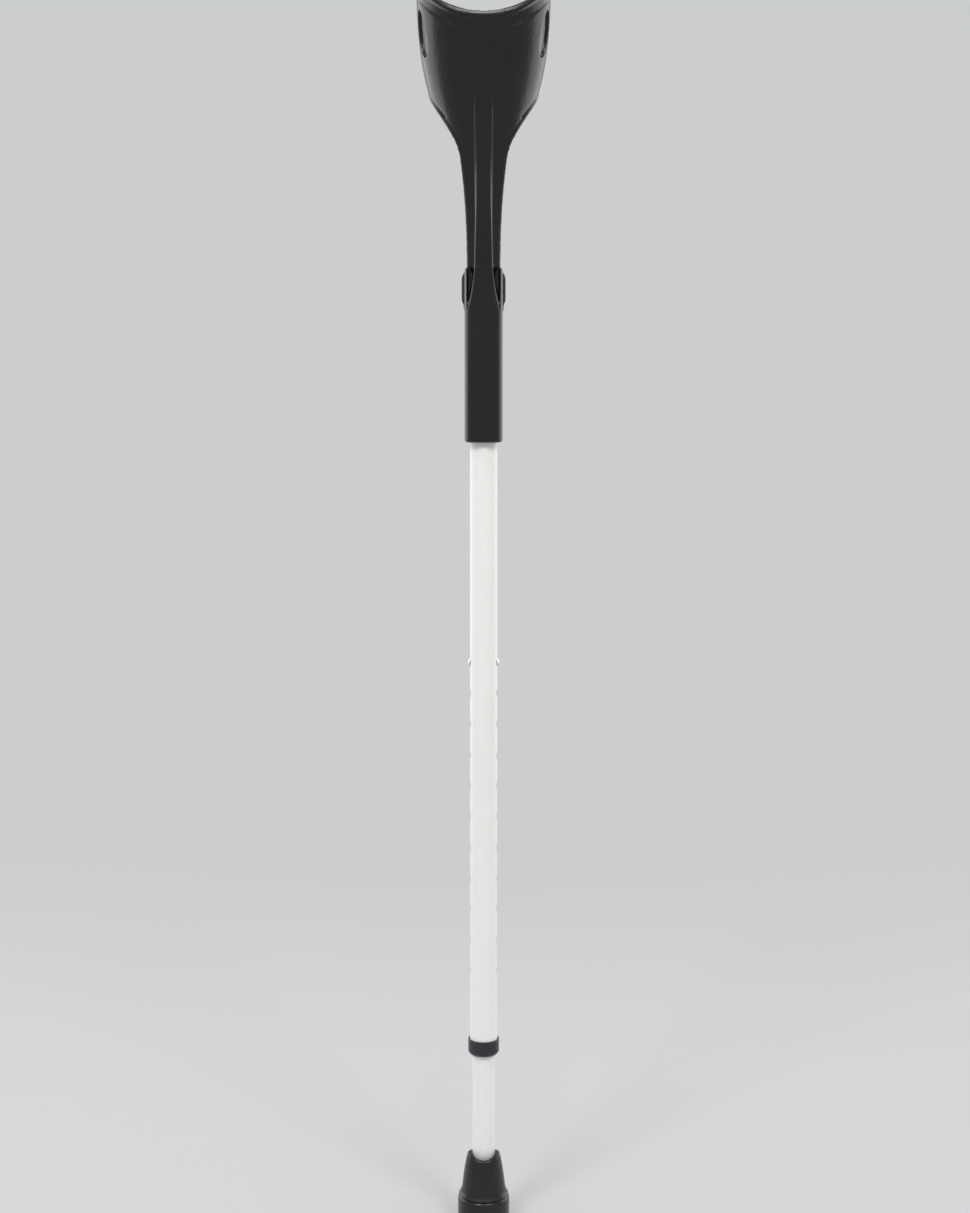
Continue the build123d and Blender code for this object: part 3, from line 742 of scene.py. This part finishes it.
world = bpy.data.worlds.new("studio air")
world.use_nodes = True
tree = world.node_tree
air = tree.nodes["Background"]
way = tree.nodes.new("ShaderNodeSeparateXYZ")
tree.links.new(tree.nodes.new("ShaderNodeTexCoord").outputs["Generated"], way.inputs[0])
sky_low, sky_high = -0.1, 0.8
dim, bright = 0.30, 0.95
dusk = tree.nodes.new("ShaderNodeMapRange")
dusk.inputs["From Min"].default_value = sky_low
dusk.inputs["From Max"].default_value = sky_high
dusk.inputs["To Min"].default_value = dim
dusk.inputs["To Max"].default_value = bright
tree.links.new(way.outputs["Z"], dusk.inputs["Value"])
tree.links.new(dusk.outputs["Result"], air.inputs["Color"])
behind = tree.nodes.new("ShaderNodeBackground")
behind.inputs["Color"].default_value = surround
swap = tree.nodes.new("ShaderNodeMixShader")
tree.links.new(camera_ray_share(tree), swap.inputs[0])
tree.links.new(air.outputs[0], swap.inputs[1])
tree.links.new(behind.outputs[0], swap.inputs[2])
tree.links.new(swap.outputs[0], tree.nodes["World Output"].inputs["Surface"])
bpy.context.scene.world = world


def soft_lamp(name, place, aim, width, height, watts):
    """A rectangular area lamp that the camera can't see."""
    light = bpy.data.lights.new(name, "AREA")
    light.shape = "RECTANGLE"
    light.size = width
    light.size_y = height
    light.energy = watts
    lamp = bpy.data.objects.new(name, light)
    lamp.location = place
    lamp.rotation_euler = (Vector(aim) - Vector(place)).to_track_quat("-Z", "Y").to_euler()
    lamp.visible_camera = False
    bpy.context.scene.collection.objects.link(lamp)


handle_height = (0, 0, 0.65)
mid_height = (0, 0, 0.5)
soft_lamp("left_side_panel", (-1.3, 0.85, 0.75), handle_height, width=1.5, height=2.0, watts=14)
soft_lamp("right_side_panel", (1.3, 0.85, 0.75), handle_height, width=1.5, height=2.0, watts=13)
soft_lamp("left_key_lamp", (-0.8, -1.3, 2.2), mid_height, width=0.5, height=0.5, watts=19.5)
soft_lamp("right_key_lamp", (0.8, -1.3, 2.2), mid_height, width=0.5, height=0.5, watts=15.5)
soft_lamp("overhead_lamp", (0, -0.25, 2.5), mid_height, width=0.4, height=0.4, watts=5)

camera = bpy.data.cameras.new("camera")
camera.lens = 53.8
camera.shift_y = -0.11
camera_object = bpy.data.objects.new("camera", camera)
camera_object.location = (0.0011, -1.45, 0.660)
looking_down = 2.0
camera_object.rotation_euler = (math.radians(90 - looking_down), 0, 0)
bpy.context.scene.collection.objects.link(camera_object)
bpy.context.scene.camera = camera_object
bpy.context.scene.view_settings.view_transform = "Standard"
